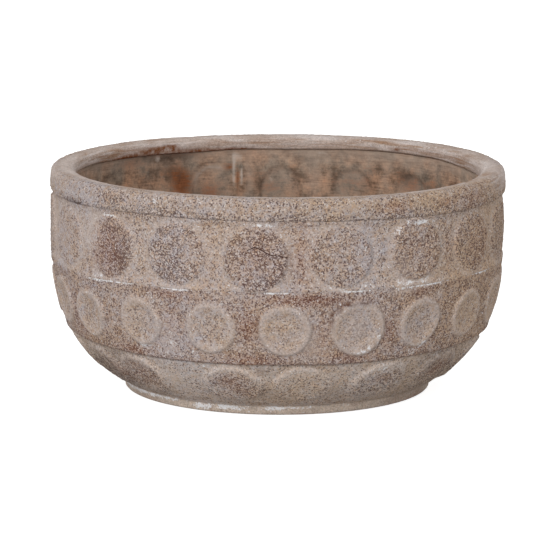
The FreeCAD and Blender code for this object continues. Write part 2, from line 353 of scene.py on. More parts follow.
def sandedTerracotta(name, look):
    # Terracotta pressed in a sanded mould, brushed with a thin grey-beige wash and weathered: dull,
    # with dark sand grains of about 1 mm where the wash has gone, and lime left in the creases.
    clay, tree, shader = blankClay(name, 0.93)
    where = addNode(tree, "TexCoord").outputs["Object"]
    paint = {layer: addNode(tree, "Attribute", attribute_name=layer).outputs["Fac"]
             for layer in paintLayers}
    cloud = addNode(tree, "TexNoise", {"Vector": where, "Scale": 1 / (look["cloud"] * mm), "Detail": 3.0})
    drift = addNode(tree, "TexNoise", {"Vector": where, "Scale": 1 / (look["drift"] * mm), "Detail": 4.0,
                                       "Roughness": 0.6})
    fleck = addNode(tree, "TexNoise", {"Vector": where, "Scale": 1 / (look["fleck"] * mm), "Detail": 3.0,
                                       "Roughness": 0.6})
    fine = addNode(tree, "TexNoise", {"Vector": where, "Scale": 1 / (look["fine"] * mm), "Detail": 2.0})
    grain = addNode(tree, "TexVoronoi", {"Vector": where, "Scale": 1 / (look["grain"] * mm)})
    lot = addNode(tree, "SeparateColor", {"Color": grain.outputs["Color"]}).outputs

    # the wash: grey in some places and beige in others, thinner here and there, grain by grain
    mottle = addNode(tree, "Math", {0: cloud, 1: drift}, operation="ADD")
    freckle = addNode(tree, "Math", {0: mottle, 1: fleck}, operation="ADD")
    lean = addNode(tree, "Math", {0: freckle, 1: paint["warm"]}, operation="ADD")
    beigeness = addNode(tree, "MapRange", {"Value": lean, "From Min": 1.60, "From Max": 2.40})
    wash = addNode(tree, "Mix", {0: beigeness, 6: linear(look["grey"]), 7: linear(look["beige"])})
    thin = addNode(tree, "MapRange", {"Value": fleck, "From Min": 0.44, "From Max": 0.74, "To Max": 0.6})
    body = addNode(tree, "Mix", {0: thin, 6: wash, 7: linear(look["clay"])})
    spread = addNode(tree, "MapRange", {"Value": paint["grit"], "To Min": 0.30, "To Max": 0.75})
    centred = addNode(tree, "Math", {0: lot["Red"], 1: 0.5}, operation="SUBTRACT")
    tone = addNode(tree, "Math", {0: centred, 1: spread, 2: 1.0}, operation="MULTIPLY_ADD")
    hue = addNode(tree, "Mix", {0: lot["Blue"], 6: look["coolGrain"], 7: look["warmGrain"]})
    tinted = addNode(tree, "Mix", {0: 1.0, 6: body, 7: hue}, blend_type="MULTIPLY")
    toned = addNode(tree, "Mix", {0: 1.0, 6: tinted, 7: tone}, blend_type="MULTIPLY")

    # rusty clay is a little redder and holds more dark grains
    tint = addNode(tree, "Math", {0: paint["rust"], 1: 0.35}, operation="MULTIPLY")
    rusted = addNode(tree, "Mix", {0: tint, 6: toned, 7: linear(look["rust"])})
    gather = addNode(tree, "Math", {0: paint["rust"], 1: 0.5, 2: paint["grit"]}, operation="MULTIPLY_ADD")
    crowd = addNode(tree, "MapRange", {"Value": drift, "From Min": 0.34, "From Max": 0.64,
                                       "To Min": look["sparse"], "To Max": look["crowd"]})
    density = addNode(tree, "Math", {0: gather, 1: crowd}, operation="MULTIPLY")
    isDark = addNode(tree, "Math", {0: lot["Green"], 1: density}, operation="LESS_THAN")
    depth = addNode(tree, "MapRange", {"Value": lot["Red"], "To Min": 0.50, "To Max": 0.95})
    strength = addNode(tree, "Math", {0: isDark, 1: depth}, operation="MULTIPLY")
    sand = addNode(tree, "Mix", {0: lot["Blue"], 6: linear(look["brownSand"]), 7: linear(look["greySand"])})
    red = addNode(tree, "Mix", {0: paint["rust"], 6: sand, 7: linear(look["redSand"])})
    sanded = addNode(tree, "Mix", {0: strength, 6: rusted, 7: red})
    isPale = addNode(tree, "Math", {0: lot["Green"], 1: 0.95}, operation="GREATER_THAN")
    pale = addNode(tree, "Math", {0: isPale, 1: 0.45}, operation="MULTIPLY")
    salted = addNode(tree, "Mix", {0: pale, 6: sanded, 7: linear(look["paleSand"])})

    # worn places with some painted light, on the lip with the level streaks of the rag that wiped it
    along = 1 / (look["ragLong"] * mm)
    level = addNode(tree, "Mapping", {"Vector": where, "Scale": (along, along, 1 / (look["ragHigh"] * mm))})
    streak = addNode(tree, "TexNoise", {"Vector": level, "Scale": 1.0, "Detail": 4.0, "Roughness": 0.65,
                                        "Distortion": 0.4})
    wipe = addNode(tree, "MapRange", {"Value": streak, "From Min": 0.36, "From Max": 0.66,
                                      "To Max": look["streak"]})
    shade = addNode(tree, "Math", {0: wipe, 1: paint["warm"]}, operation="MULTIPLY")
    rubbed = addNode(tree, "Mix", {0: shade, 6: linear(look["worn"]), 7: linear(look["clay"])})
    speck = addNode(tree, "Math", {0: centred, 1: 0.42, 2: 1.0}, operation="MULTIPLY_ADD")
    specked = addNode(tree, "Mix", {0: 1.0, 6: rubbed, 7: speck}, blend_type="MULTIPLY")
    worn = addNode(tree, "Mix", {0: paint["worn"], 6: salted, 7: specked})

    # soot and painted shade in creases, and lime in broken lines with sharp edges
    patchy = addNode(tree, "MapRange", {"Value": fleck, "From Min": 0.36, "From Max": 0.60, "To Min": 0.40})
    soot = addNode(tree, "Math", {0: paint["soot"], 1: patchy}, operation="MULTIPLY")
    stain = addNode(tree, "Mix", {0: paint["rust"], 6: linear(look["soot"]), 7: linear(look["stain"])})
    sooty = addNode(tree, "Mix", {0: soot, 6: worn, 7: stain})
    aside = addNode(tree, "Math", {0: paint["crack"], 1: 0.5}, operation="SUBTRACT")
    gap = addNode(tree, "Math", {0: aside}, operation="ABSOLUTE")
    ajar = addNode(tree, "Math", {0: fine, 1: look["crackWidth"]}, operation="MULTIPLY")
    wide = addNode(tree, "Math", {0: ajar, 1: paint["split"]}, operation="MULTIPLY")
    isCrack = addNode(tree, "Math", {0: gap, 1: wide}, operation="LESS_THAN")
    cracked = addNode(tree, "Mix", {0: isCrack, 6: sooty, 7: linear(look["crack"])})
    ragged = addNode(tree, "Math", {0: fine, 1: fleck}, operation="ADD")
    torn = addNode(tree, "Math", {0: ragged, 1: 2.6, 2: paint["bloom"]}, operation="MULTIPLY_ADD")
    lime = addNode(tree, "MapRange", {"Value": torn, "From Min": 3.30, "From Max": 3.85, "To Max": 0.85})
    limed = addNode(tree, "Mix", {0: lime, 6: cracked, 7: linear(look["lime"])})
    tree.links.new(limed.outputs[2], shader.inputs["Base Color"])

    # grains stand up where the grit is, and the bare clay is faintly pitted
    rough = addNode(tree, "MapRange", {"Value": paint["grit"], "To Min": 0.3, "To Max": 1.0})
    stand = addNode(tree, "Math", {0: lot["Red"], 1: fine}, operation="ADD")
    bump = addNode(tree, "Bump", {"Strength": rough, "Distance": look["stand"] * mm, "Height": stand})
    tree.links.new(bump.outputs[0], shader.inputs["Normal"])
    return clay


def wipedTerracotta(name, look):
    # Bare terracotta wiped smooth with a wet rag: fine level streaks, stains where soil stood, a
    # greyer band below the lip, and pale runs where water has dried.
    clay, tree, shader = blankClay(name, 0.88)
    where = addNode(tree, "TexCoord").outputs["Object"]
    paint = {layer: addNode(tree, "Attribute", attribute_name=layer).outputs["Fac"]
             for layer in ("bloom", "worn", "soot", "rust")}
    along = 1 / (look["ragLong"] * mm)
    level = addNode(tree, "Mapping", {"Vector": where, "Scale": (along, along, 1 / (look["ragHigh"] * mm))})
    streak = addNode(tree, "TexNoise", {"Vector": level, "Scale": 1.0, "Detail": 4.0, "Roughness": 0.6,
                                        "Distortion": 0.8})
    stain = addNode(tree, "TexNoise", {"Vector": where, "Scale": 1 / (look["patch"] * mm), "Detail": 5.0,
                                       "Roughness": 0.6})
    blot = addNode(tree, "TexNoise", {"Vector": where, "Scale": 1 / (look["blot"] * mm), "Detail": 5.0,
                                      "Roughness": 0.7})
    fine = addNode(tree, "TexNoise", {"Vector": where, "Scale": 1 / (look["fine"] * mm), "Detail": 2.0})

    # greyer and redder patches, wiped in level streaks and smeared
    patch = addNode(tree, "MapRange", {"Value": stain, "From Min": 0.40, "From Max": 0.62})
    bare = addNode(tree, "Mix", {0: patch, 6: linear(look["grey"]), 7: linear(look["clay"])})
    brushed = addNode(tree, "MapRange", {"Value": stain, "From Min": 0.38, "From Max": 0.60, "To Min": 0.10,
                                         "To Max": 0.40})
    centred = addNode(tree, "MapRange", {"Value": streak, "From Min": 0.30, "From Max": 0.70,
                                         "To Min": -1.0})
    wipe = addNode(tree, "Math", {0: centred, 1: brushed, 2: 1.0}, operation="MULTIPLY_ADD")
    wiped = addNode(tree, "Mix", {0: 1.0, 6: bare, 7: wipe}, blend_type="MULTIPLY")
    smear = addNode(tree, "MapRange", {"Value": blot, "From Min": 0.34, "From Max": 0.68, "To Min": 0.48,
                                       "To Max": 1.42})
    dust = addNode(tree, "MapRange", {"Value": fine, "From Min": 0.30, "From Max": 0.70, "To Min": 0.86,
                                      "To Max": 1.14})
    dusty = addNode(tree, "Math", {0: smear, 1: dust}, operation="MULTIPLY")
    smeared = addNode(tree, "Mix", {0: 1.0, 6: wiped, 7: dusty}, blend_type="MULTIPLY")

    # rust-brown stains that keep the streaks, then worn places with some painted light, soot and painted
    # shade, and limy places
    soaked = addNode(tree, "Math", {0: blot, 1: 1.6, 2: paint["rust"]}, operation="MULTIPLY_ADD")
    rusty = addNode(tree, "Math", {0: streak, 1: soaked}, operation="ADD")
    rust = addNode(tree, "MapRange", {"Value": rusty, "From Min": 1.50, "From Max": 2.10, "To Max": 0.95})
    rubbed = addNode(tree, "Math", {0: wipe, 1: dusty}, operation="MULTIPLY")
    orange = addNode(tree, "Mix", {0: 0.8, 6: linear(look["rust"]), 7: rubbed}, blend_type="MULTIPLY")
    rusted = addNode(tree, "Mix", {0: rust, 6: smeared, 7: orange})
    uneven = addNode(tree, "MapRange", {"Value": streak, "From Min": 0.36, "From Max": 0.64, "To Min": 0.55,
                                        "To Max": 1.15})
    wear = addNode(tree, "Math", {0: paint["worn"], 1: uneven}, operation="MULTIPLY")
    worn = addNode(tree, "Mix", {0: wear, 6: rusted, 7: linear(look["worn"])})
    clotted = addNode(tree, "MapRange", {"Value": blot, "From Min": 0.38, "From Max": 0.62, "To Min": 1.25,
                                         "To Max": 0.75})
    dirt = addNode(tree, "Math", {0: paint["soot"], 1: clotted}, operation="MULTIPLY")
    sooty = addNode(tree, "Mix", {0: dirt, 6: worn, 7: linear(look["soot"])})
    torn = addNode(tree, "Math", {0: blot, 1: 1.4, 2: paint["bloom"]}, operation="MULTIPLY_ADD")
    chalk = addNode(tree, "MapRange", {"Value": torn, "From Min": 1.05, "From Max": 1.7, "To Max": 0.60})
    limed = addNode(tree, "Mix", {0: chalk, 6: sooty, 7: linear(look["lime"])})
    tree.links.new(limed.outputs[2], shader.inputs["Base Color"])
    relief = addNode(tree, "Math", {0: streak, 1: fine}, operation="ADD")
    bump = addNode(tree, "Bump", {"Strength": 0.4, "Distance": look["stand"] * mm, "Height": relief})
    tree.links.new(bump.outputs[0], shader.inputs["Normal"])
    return clay


# the clays: first the sizes of their patterns and how far the grains stand up, in millimetres
beltLook = {
    "grain": 0.92, "fine": 1.4, "fleck": 4.0, "drift": 10.0, "cloud": 40.0,
    "ragLong": 36.0, "ragHigh": 2.2, "stand": 0.5,
    "crackWidth": 0.19,        # about 0.4 mm to each side
    "sparse": 0.22, "crowd": 0.58, "streak": 0.0,
    "coolGrain": (0.94, 1.0, 1.07, 1.0), "warmGrain": (1.06, 1.0, 0.92, 1.0),     # what a grain multiplies
    "grey": "#ada4a4", "beige": "#b49d88", "clay": "#977965", "rust": "#93654f", "stain": "#7d4a2b",
    "brownSand": "#4a2d24", "greySand": "#524549", "redSand": "#54291b", "paleSand": "#d8d3d0",
    "worn": "#b4a59d", "soot": "#4d3d39", "lime": "#e4e4e6", "crack": "#47332f",
}
# painted light: the lower belt's clay is lighter, standing in for the floor's bounce light on its downward
# face
paintedLitLowerLook = dict(beltLook, grey="#c1b8b6", beige="#c5b09d", clay="#a88e7c", worn="#c6b9b1")
rimLook = dict(beltLook, streak=1.6, grey="#a9a0a0", beige="#b09984", clay="#957862", worn="#c6bab4",
               stain="#724527")
# painted light: the foot's clay is lighter, standing in for light that the lower belt's overhang takes away
paintedLitFootLook = dict(beltLook, grey="#bcaea3", beige="#c0ae9e", clay="#a18872", worn="#bdaea1")
insideLook = {
    "fine": 1.6, "blot": 8.0, "patch": 22.0, "ragLong": 22.0, "ragHigh": 1.8, "stand": 0.4,
    "grey": "#958576", "clay": "#ae8b72", "rust": "#804d2e", "worn": "#b5a192",
    "soot": "#4d3d33", "lime": "#c8bdb4",
}
beltClay = sandedTerracotta("sandedTerracotta", beltLook)
paintedLitLowerClay = sandedTerracotta("sandedTerracottaPaintedLitBase", paintedLitLowerLook)
rimClay = sandedTerracotta("sandedTerracottaWornLip", rimLook)
paintedLitFootClay = sandedTerracotta("limedTerracottaPaintedLit", paintedLitFootLook)
insideClay = wipedTerracotta("wipedTerracotta", insideLook)
print("clay mixed: 5 materials")

# the rim: a thick coil, sandy outside and wiped smooth over the lip, that overhangs the wall
rim = {
    "outline": [
        (169.8, pot["upperSeam"] + pot["lap"], 0.0, 9.0, 0.0),
        (169.8, pot["upperSeam"], 0.0, 3.0, 0.0),
        (179.5, pot["upperSeam"], 2.8, 1.1, 0.2),
        (178.9, 177.0, 6.8, 1.1, 0.1),
        (159.4, 176.2, 7.4, 1.1, 0.0),
        (160.0, 166.0, 1.2, 2.0, 0.0),
        (163.0, pot["upperSeam"] + pot["lap"], 0.0, 3.0, 0.0),
    ],
    "steps": 960,              # faces round the piece
    "sway": (0.7, 34.0), "dents": (0.4, 9.0),      # lift and size of the clay's unevenness
    "sand": (0.65, 2.2, 1.6),  # lift, size and contrast of the sand
    "slip": 0.7,               # slip rubbed into the joint below
    "darkMarks": [(-43, 167, 12, 5, 0.45), (-53, 163, 8, 6, -0.15), (-31, 163, 14, 4.5, 0.40),
                  (-18, 161.5, 16, 3.5, 0.35), (4, 163, 14, 4, 0.30), (30, 163, 14, 4.5, 0.35),
                  (46, 165, 12, 6, 0.25), (-64, 168, 22, 12, -0.25), (-84, 168, 40, 12, -0.22),
                  (-12, 168, 12, 6, -0.2), (18, 168, 12, 6, -0.2), (54, 167, 18, 8, 0.25),
                  (92, 172, 26, 6, -0.3)],
    "rustMarks": [(29, 168.5, 12, 5, 0.8), (45, 168, 9, 4, 0.6), (56, 167, 22, 8, 0.6),
                  (-46, 170, 10, 4, 0.3)],
    "limeMarks": [(-30.7, 170.3, 1.6, 2.6, 1.0), (10, 171.5, 2.5, 1.5, 0.8), (-2, 172, 3, 1.2, 0.6)],
    # inside, under the lip: brown stains, darkest along the lip's lower edge as painted shade of the gap
    # below it
    "stainAndShadeMarks": [(-150, 165.6, 34, 1.3, 1.4), (-142, 167.4, 15, 3.6, 1.3), (-132, 166.4, 20, 2.4, 1.2),
                   (-155, 166.2, 26, 2.2, 1.4), (-168, 165.8, 14, 1.6, 1.0), (-146, 171.0, 7, 2.0, 1.0),
                   (-120, 166.2, 22, 2.0, 0.20), (142, 168.6, 4, 2.0, 0.8)],
    "tanMarks": [(122, 168, 50, 4, 0.35), (-128, 169, 40, 4, 0.34), (-110, 173, 16, 4, 0.10),
                 (-168, 169, 40, 3, 0.10), (156, 171, 40, 4, 0.20), (-172, 170.6, 60, 1.4, 0.12),
                 (-140, 170.8, 30, 2.0, 0.45), (133, 170.5, 26, 1.6, 0.40), (108, 169, 30, 4, 0.25)],
    "wornMarks": [(-83, 174, 40, 4.5, 0.7), (81, 173, 44, 7, 0.9)],
    "paleMarks": [(149.5, 172, 10, 1.6, 0.7), (132, 174.5, 20, 1.5, 0.6), (-105, 172, 20, 4, 0.4)],
    # painted shade in the crease under the rim band at the left
    "sootMarks": [(-62, 160.6, 9, 1.6, 1.1), (-57.5, 159.8, 7, 1.6, 1.1)],
}
rimCoil = throwPiece("rimCoil", rim)
gauge = gaugeOf(rimCoil)
radius, turn, height = gauge
shown = np.clip(smooth(171.0, 172.5, radius) + smooth(165.5, 167.0, height), 0, 1)
band = smooth(172.5, 175.5, radius)
press(rimCoil, shown, *rim["sway"])
press(rimCoil, shown, *rim["dents"])
press(rimCoil, band * shown, *rim["sand"])
facing = smooth(0.1, 0.7, np.cos(turn))
press(rimCoil, facing * band * (1 - smooth(159.8, 162.6, height)), rim["slip"])
settle(rimCoil, "upperSeam", "lip")
liftJoint(rimCoil, gauge)
bottom = 1 - smooth(160.0, 166.0, height)
stainedAndShaded = marksOf(rim["stainAndShadeMarks"], gauge)
tanned = marksOf(rim["tanMarks"], gauge)
front = 0.5 + 0.5 * np.cos(turn)
rubbed = (1 - smooth(165.5 + 1.5 * (1 - front), 174.5, radius)) * smooth(165.0, 167.0, height)
rubbed = np.clip(rubbed + marksOf(rim["wornMarks"], gauge), 0, 1)
smeared = (1 - smooth(162.0, 167.0, radius)) * smooth(165.0, 166.0, height)
keepPaint(
    rimCoil,
    grit=(1 - rubbed) * shown * (0.40 + 0.36 * bottom + marksOf(rim["darkMarks"], gauge)),
    worn=rubbed,
    rust=band * marksOf(rim["rustMarks"], gauge) + smeared * stainedAndShaded + 2.0 * rubbed * tanned,
    soot=smeared * 1.2 * stainedAndShaded + rubbed * 0.6 * tanned + band * marksOf(rim["sootMarks"], gauge),
    warm=warmthOf(gauge),
    bloom=band * (0.1 + marksOf(rim["limeMarks"], gauge))
    + rubbed * marksOf(rim["paleMarks"], gauge),
)
finishPiece(rimCoil, "rim_coil", rimClay)

# the upper belt: flat coin discs, sandy and dark on a smoother wall, each with a hollow behind it
upper = {
    "outline": [
        (163.4, pot["middleSeam"] + pot["lap"], 0.0, 7.0, 0.0),
        (170.1, pot["middleSeam"] + pot["lap"], 0.0, 6.0, 0.0),
        (170.1, pot["middleSeam"], 0.0, 3.0, 0.0),
        (177.2, pot["middleSeam"], 0.4, 1.1, 0.0),
        (176.9, pot["upperSeam"], 0.4, 3.0, 0.0),
        (169.6, pot["upperSeam"], 0.0, 6.0, 0.0),
        (169.6, pot["upperSeam"] + pot["lap"], 0.0, 7.0, 0.0),
        (163.1, pot["upperSeam"] + pot["lap"], 0.0, 2.4, 0.0),
    ],
    "steps": 960, "face": 177.0,                   # radius of the wall that the discs stand on
    "sway": (0.9, 30.0), "dents": (1.2, 22.0), "sand": (0.7, 2.1, 1.6),
    "flare": 1.3,              # the wall widens to its seams
    "count": 18, "first": -4.5, "dice": 3,         # hand: nudge in degrees, shift and scale of a disc
    "hand": {0: (-0.7, -1.1, 1.03), 1: (0.1, 0.3, 1.0), 2: (0.4, 2.0, 1.0), 3: (1.0, 0.5, 1.0),
             6: (1.2, 0.0, 1.0), 7: (1.7, 0.0, 1.0), 8: (2.3, 0.0, 1.0), 9: (3.6, 0.0, 1.0),
             10: (4.3, 0.0, 1.0), 11: (3.4, 0.0, 1.0), 12: (2.4, 0.0, 1.0), 13: (1.5, 0.0, 1.0),
             15: (-0.6, 0.5, 1.0), 16: (-0.7, 0.2, 0.98), 17: (-0.6, 0.0, 0.99)},
    "level": 131.2, "size": 23.3, "edge": 1.4, "rise": 1.65,
    "flat": 0.35,              # 0: a disc follows the wall's curve, 1: its face is flat
    "hollow": 19.0, "hollowDepth": 1.9,
    "filled": [(-141, 131, 30, 60, 0.9)],          # where the hollows were wiped shut
    "bulge": (-1.47, 0.16, 0.5),                   # a coin at the far left stands out more
    "gritMarks": [(15.2, 131, 22, 22, -0.30), (-21, 133, 9, 14, -0.25), (-41, 130, 9, 20, 0.3),
                  (-50.5, 138, 9, 20, -0.6), (-8, 119, 12, 9, -0.25), (36, 133, 22, 22, -0.14),
                  (56, 131, 18, 22, -0.15), (-65.5, 131, 26, 26, -0.62), (-28, 122, 14, 9, 0.2),
                  (0, 136, 10, 6, 0.2), (2.2, 124, 5, 16, 0.4), (-1, 113, 12, 4, 0.3)],
    "wallMarks": [(-72, 131, 24, 30, -0.15), (-54, 140, 9, 24, -0.10), (-51, 152, 9, 8, -0.25),
                  (-36.5, 135, 9, 26, 0.12), (30, 128, 6, 26, -0.15), (46, 138, 9, 24, 0.25),
                  (64, 120, 24, 16, 0.1), (6.5, 148, 6, 14, 0.1), (-15, 131, 10, 22, 0.08)],
    "limeMarks": [(-45, 154.1, 8, 1.2, 1.05), (-4, 155.6, 11, 1.3, 0.9), (36.5, 155.0, 12, 1.8, 1.3),
                  (30.4, 149, 3, 3, 0.9), (-24, 155.5, 9, 1.2, 0.5), (58, 152, 8, 1.5, 0.6),
                  (14, 107.5, 12, 2.0, 0.5), (34, 109, 10, 2.5, 0.45), (-50, 108, 12, 1.6, 0.7),
                  (22, 108, 8, 3, 0.5), (38, 108, 6, 3, 0.7), (20, 137, 5, 3, 0.5), (-20, 148, 6, 3, 0.3),
                  (-53, 142, 9, 18, 0.15), (29, 116, 6, 10, 0.15), (31, 107, 10, 2, 0.45)],
    "dustMarks": [(6, 131, 8, 26, 0.7), (-17, 131, 7, 24, 0.15), (-52, 118, 9, 12, 0.3),
                  (47, 131, 6, 22, 0.4), (60, 128, 20, 26, 0.3), (-4.5, 131, 22, 22, 0.35),
                  (-45, 129, 16, 22, 0.8), (36, 133, 20, 22, 0.2)],
    "crack": [(-7.2, 136.6), (-5.4, 139.6), (-4.4, 138.2), (-3.0, 135.6), (-1.5, 133.4), (0.4, 133.0),
              (2.3, 131.6)],
    # painted shade, partly dirt, in the creases beside and below the coins
    "paintedCreaseShade": [(26.5, 128, 1.2, 1.2, 1.2), (2.9, 127, 2.2, 13, 0.45), (1.0, 112, 7, 3.0, 0.35)],
    # worn places; at the far left and below the rim there, the lighter paint is painted light
    "rubAndPaintedLightMarks": [(-53.5, 140, 9, 24, 0.30), (-51, 152, 8, 7, 0.5), (31, 118, 6, 12, 0.35),
                 (-76, 132, 26, 26, 0.45), (33, 108, 12, 3, 0.4)],
    # inside: rust stains, painted shade, pale places, rings round the hollows and runs of lime
    "stains": [(-150.4, 138, 9, 12, 0.85), (-147, 148, 12, 7, 0.30), (-168.0, 140, 1.4, 12, 0.5),
               (-165.4, 150.5, 4, 4, 0.6), (-159, 128, 14, 10, 0.5), (-130, 158, 22, 5, 0.45),
               (-148, 163, 30, 2.5, 0.9), (-168, 163, 18, 2.5, 0.4), (138, 144, 12, 10, 0.5),
               (149.0, 152, 8, 4, 0.40), (128, 140, 14, 10, 0.35), (158, 138, 12, 9, 0.3),
               (-178, 132, 10, 8, 0.3)],
    "shadows": [(-174.2, 139, 5, 13, 0.60), (174.6, 139, 4.5, 12, 0.38), (163.2, 144, 3.5, 11, 0.54),
                (141.5, 152, 7, 5, 0.60), (152.6, 141, 6, 10, 0.50), (148.5, 154, 3, 2.5, 0.5),
                (-146, 161, 30, 4, 0.62), (-145, 150, 26, 13, 0.27), (-137, 150, 16, 9, 0.2),
                (-147, 148, 3, 16, 0.25), (158, 162.5, 30, 2, 0.2), (132, 146, 6, 6, 0.20),
                (-168.0, 141, 1.2, 12, 0.20), (-149.5, 156, 10, 4, 0.22), (140.6, 147, 10, 8, 0.15),
                (127, 155, 14, 8, 0.24)],
    "pales": [(169.3, 142, 7, 16, 0.55), (-160, 150.0, 12, 2.0, 0.35), (-155.0, 142, 2.4, 9, 0.35),
              (-179, 146, 9, 5, 0.3), (-171.6, 141, 4, 14, 0.55), (156, 146, 8, 6, 0.25),
              (146.5, 144, 4, 14, 0.3)],
    "ringMarks": [(-156.5, 145, 10, 12, 0.9), (-161, 151, 12, 6, 0.8)],
    "runs": [(-167.6, 160, 6, 4, 0.85), (-166.8, 146, 1.5, 15, 1.05), (-142, 160.0, 4, 4, 0.8),
             (-169.2, 143, 1.5, 10, 1.2), (170.5, 146, 2, 16, 0.4), (166.5, 163, 8, 1.2, 0.8),
             (-178, 139, 3, 4, 0.5), (160, 150, 16, 3, 0.2)],
}
upperBelt = throwPiece("upperBelt", upper)
gauge = gaugeOf(upperBelt)
radius, turn, height = gauge
outer = smooth(172.0, 173.5, radius)
inner = 1 - smooth(163.6, 164.6, radius)
side, _, away = nearestDisc(discsOf(upper), turn, height - upper["level"], upper["face"])
coin = 1 - smooth(upper["size"] - upper["edge"], upper["size"] + upper["edge"], away)
hollow = 1 - smooth(upper["hollow"] - 2.6, upper["hollow"] + 1.6, away)
hollow *= 1 - np.clip(marksOf(upper["filled"], gauge), 0, 1)
bulge = humpOf(upper["bulge"], turn)
lift = outer * coin * (upper["rise"] + bulge + upper["flat"] * side ** 2 / (2 * upper["face"]))
facing = smooth(0.1, 0.7, np.cos(turn))
flare = (0.6 + 0.6 * facing) * smooth(152.0, pot["upperSeam"], height)
flare = outer * (flare + (1 - smooth(pot["middleSeam"], 111.0, height)))
press(upperBelt, lift / lift.max(), lift.max())
press(upperBelt, flare, upper["flare"])
press(upperBelt, inner * hollow, -upper["hollowDepth"])
press(upperBelt, outer, *upper["sway"])
press(upperBelt, inner, *upper["dents"])
press(upperBelt, outer * (0.25 + 0.75 * coin), *upper["sand"])
settle(upperBelt, "middleSeam", "upperSeam")
liftJoint(upperBelt, gauge)
halo = smooth(upper["size"] - 1.0, upper["size"] + 1.5, away)
halo *= 1 - smooth(upper["size"] + 2.5, upper["size"] + 8.0, away)
sandy = 1 - smooth(upper["size"] - 1.5, upper["size"] + 1.5, away)
topSeam = smooth(153.0, 158.5, height)
paintedHollowEdgeShade = np.exp(-((away - upper["hollow"]) / 1.8) ** 2) * inner
ringed = np.clip(marksOf(upper["ringMarks"], gauge), 0, 1) * inner
paleRing = np.exp(-((away - upper["hollow"]) / 2.2) ** 2) * ringed
paintedRingShadow = np.exp(-((away - upper["hollow"] - 5.0) / 1.8) ** 2) * ringed
speckled = sandy * (0.46 + marksOf(upper["gritMarks"], gauge)) + 0.22 * topSeam
# a paler top strip inside; just below the lip it is lighter again, as painted light against the lip's shade
paleTopAndPaintedLight = 0.30 * smooth(150.0, 157.0, height) + 0.35 * smooth(158.0, 164.0, height)
crack, split = crackOf(upper["crack"], gauge)
keepPaint(
    upperBelt,
    grit=outer * (0.30 - 0.12 * halo + speckled + (1 - sandy) * marksOf(upper["wallMarks"], gauge)),
    bloom=outer * (0.08 + 0.22 * halo + marksOf(upper["limeMarks"], gauge))
    + 0.7 * paleRing + inner * marksOf(upper["runs"], gauge),
    worn=outer * (0.25 * halo + marksOf(upper["rubAndPaintedLightMarks"], gauge)) + 0.9 * paleRing
    + inner * (0.2 * hollow + paleTopAndPaintedLight + marksOf(upper["pales"], gauge)),
    # painted shade: in the crease under the rim, in the creases by the coins, at the hollows' edges, in a
    # shadow ring round some hollows and in the listed shadows inside
    soot=outer * (0.08 * topSeam + marksOf(upper["paintedCreaseShade"], gauge))
    + 0.12 * (paintedHollowEdgeShade - paleRing) + 0.40 * paintedRingShadow + inner * marksOf(upper["shadows"], gauge),
    rust=outer * (0.15 * sandy + marksOf(upper["dustMarks"], gauge))
    + inner * (0.10 * (1 - smooth(150.0, 155.0, height)) + marksOf(upper["stains"], gauge)),
    warm=warmthOf(gauge),
    crack=crack,
    split=outer * split,
)
finishPiece(upperBelt, "upper_belt", beltClay, insideClay, radius < 171.5)

